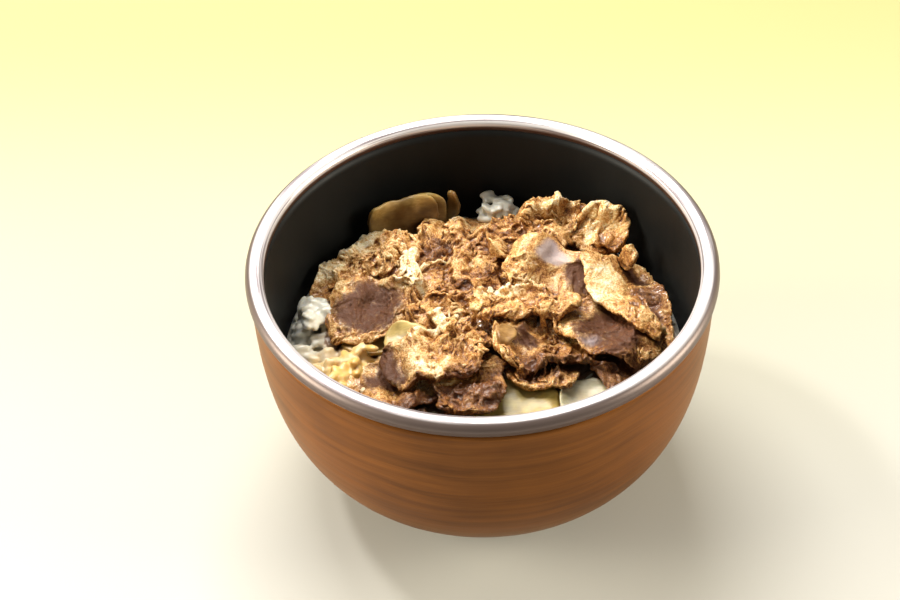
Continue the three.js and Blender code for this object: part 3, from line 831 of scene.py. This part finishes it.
def keep_in_bowl(points):
    """Draws points in where they would pass the bowl's wall."""
    reach = np.hypot(points[:, 0], points[:, 1])
    depth = np.clip((BODY_TOP - points[:, 2]) / (BODY_TOP - FLOOR_HEIGHT), 0, 1)
    limit = CAVITY_RADIUS * (1 - depth**WALL_FALL) ** (1 / WALL_TURN) - WALL_GAP
    share = np.minimum(1, limit / np.maximum(reach, 1e-6))
    points[:, 0] *= share
    points[:, 1] *= share
    return points


def rounded(name, levels):
    """The mesh of a CAD node with its facets rounded off."""
    weld = ("WELD", {"merge_threshold": 0.01 * mm})
    return shaped(name + "_rounded", nodes[name].data, weld, ("SUBSURF", {"levels": levels}))


def set_points(mesh, points):
    """Moves a mesh's vertices to those places."""
    mesh.vertices.foreach_set("co", points.astype(np.float32).ravel())
    mesh.update()


def vertex_normals(mesh):
    """The directions in which a mesh's vertices face."""
    normals = np.empty(len(mesh.vertices) * 3, np.float32)
    mesh.vertex_normals.foreach_get("vector", normals)
    return normals.reshape(-1, 3).astype(float)


def make_slice(name, ribbons, turn):
    """One slice: the CAD slice and its ribbons as one skin, folded finely."""
    source = joined_mesh(name + "_rough", rounded(name, 2), ribbons)
    piece = skinned(name + "_slice", source, SLICE_CELL, 2)
    mesh = piece.data
    points = mesh_points(mesh)
    large, middle, fine = folds(points, turn)
    calm = np.maximum(0.25 * patches(points, LEAN, 0.05, 1.0), patches(points, SMOOTH, 0.1, 1.0))
    strong = 1 - 0.85 * calm
    moved = swayed(points)
    if name in STANDING:
        moved += np.outer((1.5 * large + 0.5 * middle) * mm, STANDING_BEND)
        moved += np.outer(1.2 * mm * noise(points, 2.6 * mm, 75), STANDING_CRUMPLE)
    else:
        moved[:, 2] += strong * (1.1 * large + 0.2 * middle) * mm
    set_points(mesh, moved)
    still = patches(points, SMOOTH + SHEEN, 0.1, 1.0)
    moved += vertex_normals(mesh) * (FIBRE_DEPTH * (1 - 0.8 * still) * fine)[:, None]
    set_points(mesh, keep_in_bowl(moved))
    lean_share = 0.0 if name in ALL_FAT else patches(points, LEAN, 0.05, 1.0)
    set_mask(mesh, "lean", lean_share * np.ones(len(points)))
    wet = SHEEN if name in SHINING else []
    set_mask(mesh, "sheen", patches(points, wet, 0.2, 0.8, rough=0.35))
    set_mask(mesh, "brown", patches(points, BROWN, 0.1, 0.9))
    cream = 1.0 if "strip" in name else patches(points, CREAM, 0.2, 0.9)
    set_mask(mesh, "cream", cream * np.ones(len(points)))
    # The crest mask is paler on the tops of the folds and fibres and darker in their hollows:
    # painted light and shade.
    set_mask(mesh, "crest", 0.5 + strong * (0.12 * large + 0.15 * middle) + 0.35 * fine)
    return piece


def set_openness(pieces):
    """Stores how open each vertex lies, little in gaps and less in hollows than on top, for the
    painted shade there.
    """
    verts, faces = [], []
    for piece in pieces:
        first = len(verts)
        verts += [v.co for v in piece.data.vertices]
        faces += [tuple(first + k for k in p.vertices) for p in piece.data.polygons]
    tree = BVHTree.FromPolygons(verts, faces)
    rays = [Vector((0, 0, 1))]
    for k in range(5):
        angle = 2 * math.pi * (k + 0.3) / 5
        rays.append(Vector((0.8 * math.cos(angle), 0.8 * math.sin(angle), 0.6)))
    for piece in pieces:
        open_share = []
        for vertex in piece.data.vertices:
            start = vertex.co + vertex.normal * (0.25 * mm)
            reach = [tree.ray_cast(start, ray, OPEN_REACH)[3] or OPEN_REACH for ray in rays]
            open_share.append(sum(reach) / (OPEN_REACH * len(rays)))
        set_mask(piece.data, "open", np.array(open_share))


# Each list runs from the darkest tone, for the sauce and the painted shade in the hollows, to
# the palest crests of the fibres.
FAT_TONES = [
    (0.0, (0.15, 0.045, 0.010)),
    (0.25, (0.43, 0.175, 0.036)),
    (0.48, (0.66, 0.36, 0.115)),
    (0.72, (0.86, 0.63, 0.31)),
    (1.0, (0.97, 0.87, 0.66)),
]
BROWN_TONES = [
    (0.0, (0.11, 0.034, 0.009)),
    (0.4, (0.28, 0.115, 0.034)),
    (1.0, (0.66, 0.39, 0.17)),
]
# The palest lean tones, on the fine flecks and wrinkle crests, are partly painted glints on the
# wet lean.
LEAN_TONES = [
    (0.0, (0.095, 0.030, 0.008)),
    (0.4, (0.32, 0.125, 0.034)),
    (0.7, (0.55, 0.29, 0.115)),
    (1.0, (0.90, 0.70, 0.45)),
]
PAINTED_SHEEN_GREY = (0.50, 0.41, 0.41)
# The dark brown of the gaps between slices: painted shade, with the sauce that pools there.
GAP_SHADE_BROWN = (0.15, 0.048, 0.010)
beef, shader, place = new_material("simmered_beef")
bent = place.bent(7 * mm, 5 * mm)
seams = bent.crests(4 * mm, 2, 0.6, (1.5, 1, 1)).step(0.6, 1.0)
torn = 1.1 * (bent.noise(2 * mm, 3, 0.7) - 0.5)
lean = (mask(place, "lean") + torn).step(0.1, 1.0) * (1 - 0.6 * seams)
winding = place.bent(4 * mm, 1.2 * mm).crests(1.0 * mm, 2, 0.6, (1.5, 1, 1))
blotch = place.noise(8 * mm, 3, 0.6)
strands = place.crests(0.65 * mm, 2, 0.6, (1.4, 1, 1))
speck = place.noise(0.6 * mm, 3, 0.7)
grain = 0.3 * mask(place, "crest") + 0.6 * winding + 0.45 * strands + 1.3 * (speck - 0.5)
openness = mask(place, "open")
# The tone falls where a vertex lies less open: painted shade in the hollows.
tone = 0.22 + 1.35 * grain + 1.0 * (blotch - 0.5) - 0.6 * (1 - openness)
tone = (tone + 0.36 * mask(place, "cream") - 0.25 * mask(place, "brown")).clamp()
ramp = "ShaderNodeValToRGB"
fat_colour = tone.node(ramp, {"stops": FAT_TONES}, Fac=tone)
brown_colour = tone.node(ramp, {"stops": BROWN_TONES}, Fac=tone)
wrinkles = place.bent(9 * mm, 5 * mm).crests(1.9 * mm, 3, 0.6, (3, 1, 1))
# Fine flecks and wrinkle crests lift the lean's tone: its own fibres and painted glints.
lean_tone = (2.3 * grain + 0.8 * wrinkles - 0.85 + 0.8 * (blotch - 0.5)).clamp()
lean_colour = tone.node(ramp, {"stops": LEAN_TONES}, Fac=lean_tone)
colour = (0.85 * mask(place, "brown")).mix(fat_colour, brown_colour)
colour = lean.mix(colour, lean_colour)
# The sheen mask mixes in a pale grey: a painted reflection on the wet lean.
sheen = mask(place, "sheen")
colour = (0.85 * sheen).mix(colour, PAINTED_SHEEN_GREY)
# Gaps between the slices turn dark brown: painted shade, with pooled sauce.
gap = 1 - openness.step(0.0, 0.5)
feed(shader, "Base Color", (0.75 * gap).mix(colour, GAP_SHADE_BROWN))
feed(shader, "Roughness", 0.24 + 0.22 * speck + 0.2 * lean + 0.3 * sheen)
feed(shader, "Specular IOR Level", 0.3)
feed(shader, "Subsurface Weight", 0.1)
feed(shader, "Subsurface Radius", (1.0, 0.45, 0.2))
feed(shader, "Subsurface Scale", 1.0 * mm)
feed(shader, "Coat Weight", 0.4 - 0.37 * lean.math("MAXIMUM", lean, sheen))
feed(shader, "Coat Roughness", 0.12)
fibres = winding + 0.7 * strands + speck + 1.2 * lean * wrinkles
relief(shader, (1 - 0.7 * sheen) * fibres, 0.4 * mm, 1.0)

ribbons = frill_ribbons(FRILL_COUNT)
slices = [make_slice(name, ribbons[name], 2.4 * k) for k, name in enumerate(beef_names)]
set_openness(slices)
for name, piece in zip(beef_names, slices):
    place_piece(piece, "beef", name, beef)


# Petals of onion, simmered soft: thin curved pieces, pale yellow to brown as the sauce
# has coloured them, shiny and slightly translucent, with fine veins along them. They
# lie between the beef and the rice, and three stand up at the back.
ONION_PALE = (0.34, 0.23, 0.05), (0.62, 0.48, 0.15)
ONION_WHITE = (0.55, 0.47, 0.27), (0.86, 0.81, 0.60)
ONION_STAINED = (0.20, 0.092, 0.022), (0.56, 0.33, 0.115)
ONION_LOW_SHADE = (0.060, 0.027, 0.008)
# Back petals darken over this depth below their top: painted shade.
DARKENING_DEPTH = 6 * mm
PETAL_CELL = 0.5 * mm
# How far the sauce has stained a petal, for those that it has reached most.
STAINS = {
    "onion_back_petal": 0.75,
    "onion_back_slice": 0.5,
    "onion_back_tip": 0.6,
    "onion_curl": 0.9,
    "onion_left_yellow": 0.55,
    "onion_left_green": 0.2,
}
LEAST_STAIN = 0.1
onion, shader, place = new_material("simmered_onion")
vein = place.bent(12 * mm, 3 * mm).noise(0.7 * mm, 2, 0.5, (7, 1, 1))
cloud = place.noise(6 * mm, 3)
brown = mask(place, "brown")
tone = (0.75 * cloud + 0.25 * vein).step(0.3, 0.7)
pale = mask(place, "white").mix(tone.mix(*ONION_PALE), tone.mix(*ONION_WHITE))
stained = brown.mix(pale, tone.mix(*ONION_STAINED))
# The back petals' lower parts are mixed towards dark brown: painted shade.
feed(shader, "Base Color", (0.7 * mask(place, "deep")).mix(stained, ONION_LOW_SHADE))
feed(shader, "Roughness", 0.3 + 0.15 * cloud)
feed(shader, "Subsurface Weight", 0.35)
feed(shader, "Subsurface Radius", (1.0, 0.7, 0.35))
feed(shader, "Subsurface Scale", 1.8 * mm)
feed(shader, "Coat Weight", 0.08)
feed(shader, "Coat Roughness", 0.15)
relief(shader, 0.4 * vein + cloud, 0.25 * mm, 0.5)

for name in onion_names:
    petal = skinned(name + "_petal", rounded(name, 1), PETAL_CELL, 3)
    mesh = petal.data
    points = mesh_points(mesh)
    moved = points.copy()
    for axis, seed in enumerate((51, 52, 53)):
        moved[:, axis] += 0.7 * mm * noise(points, 6 * mm, seed)
    set_points(mesh, keep_in_bowl(moved))
    set_mask(mesh, "brown", STAINS.get(name, LEAST_STAIN) + 0.35 * noise(points, 8 * mm, 54))
    set_mask(mesh, "white", np.full(len(points), 1.0 if "white" in name else 0.0))
    # Back petals are darker towards their bottom: painted shade.
    below = (points[:, 2].max() - points[:, 2]) / DARKENING_DEPTH
    ragged = below + 0.35 * noise(points, 5 * mm, 55)
    set_mask(mesh, "deep", eased(ragged, 0.1, 1.1) if "back" in name else 0 * below)
    place_piece(petal, "onion", name, onion)


# The studio is a plain pale floor, more yellow far behind the bowl, with soft lights
# above and at both sides and a little light from all round.
FLOOR_NEAR = (0.47, 0.46, 0.43)
FLOOR_FAR = (0.38, 0.36, 0.165)
ROOM_COLOUR = (1.0, 0.98, 0.92, 1)
ROOM_STRENGTH = 0.22
WHITE_LIGHT = (1.0, 0.98, 0.94)
WARM_LIGHT = (1.0, 0.94, 0.78)
floor = new_piece("floor", [(-4, -4, 0), (4, -4, 0), (4, 4, 0), (-4, 4, 0)], [(0, 1, 2, 3)])
floor_look, shader, place = new_material("pale_floor")
far = place.node("ShaderNodeSeparateXYZ", None, out=1, Vector=place).step(-0.1, 0.3)
feed(shader, "Base Color", far.mix(FLOOR_NEAR, FLOOR_FAR))
feed(shader, "Roughness", 0.9)
feed(shader, "Specular IOR Level", 0.0)
floor.data.materials.append(floor_look)

world = bpy.data.worlds.new("studio")
world.use_nodes = True
background = world.node_tree.nodes["Background"]
background.inputs["Color"].default_value = ROOM_COLOUR
background.inputs["Strength"].default_value = ROOM_STRENGTH
bpy.context.scene.world = world
bpy.context.scene.view_settings.view_transform = "Standard"


def soft_light(name, place, size, power, colour):
    """A square soft light that faces the bowl."""
    data = bpy.data.lights.new(name, "AREA")
    data.size = size
    data.energy = power
    data.color = colour
    light = bpy.data.objects.new(name, data)
    light.location = place
    aim = Vector((0, 0, 50 * mm)) - light.location
    light.rotation_euler = aim.to_track_quat("-Z", "Y").to_euler()
    bpy.context.scene.collection.objects.link(light)


soft_light("overhead", (-0.1, 0.5, 0.85), 0.55, 14, WHITE_LIGHT)
soft_light("sparkle", (-0.5, 0.35, 0.8), 0.1, 5, WHITE_LIGHT)
soft_light("right", (0.85, -0.1, 0.35), 0.45, 12, WARM_LIGHT)
soft_light("left", (-0.85, -0.1, 0.35), 0.45, 14, WARM_LIGHT)
